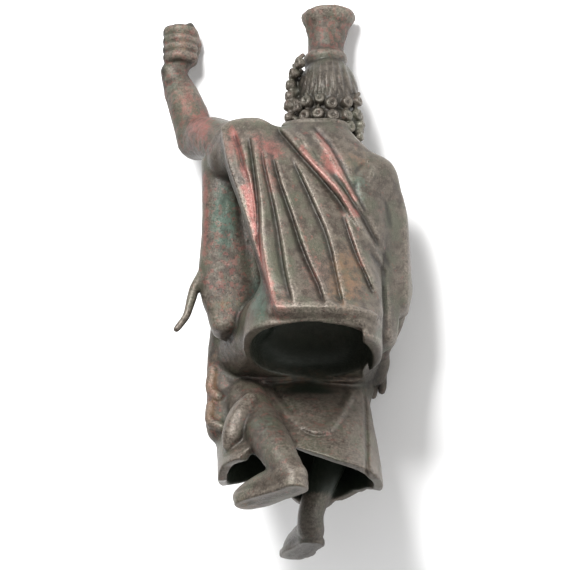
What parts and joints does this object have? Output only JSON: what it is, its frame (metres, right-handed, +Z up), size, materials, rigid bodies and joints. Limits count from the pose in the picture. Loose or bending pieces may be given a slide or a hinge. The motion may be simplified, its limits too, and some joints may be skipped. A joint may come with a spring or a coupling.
{
  "type": "statuette",
  "caption": "Cast bronze statuette of an enthroned bearded god in a mantle, with a tall headdress, one arm raised, hollow below the seat, lying face down.",
  "frame": {"origin": "centre of the bounding box at the surface that the figure lies on", "axes": "+Z up from the surface, +Y from the feet to the head, +X to the figure's right as it lies on its front"},
  "size_m": [0.0914, 0.1582, 0.0699],
  "materials": {
    "bronze": "dark patinated bronze, worn smooth on the ridges"
  },
  "bodies": {
    "root": {"statuette": "bronze"}
  },
  "joints": []
}
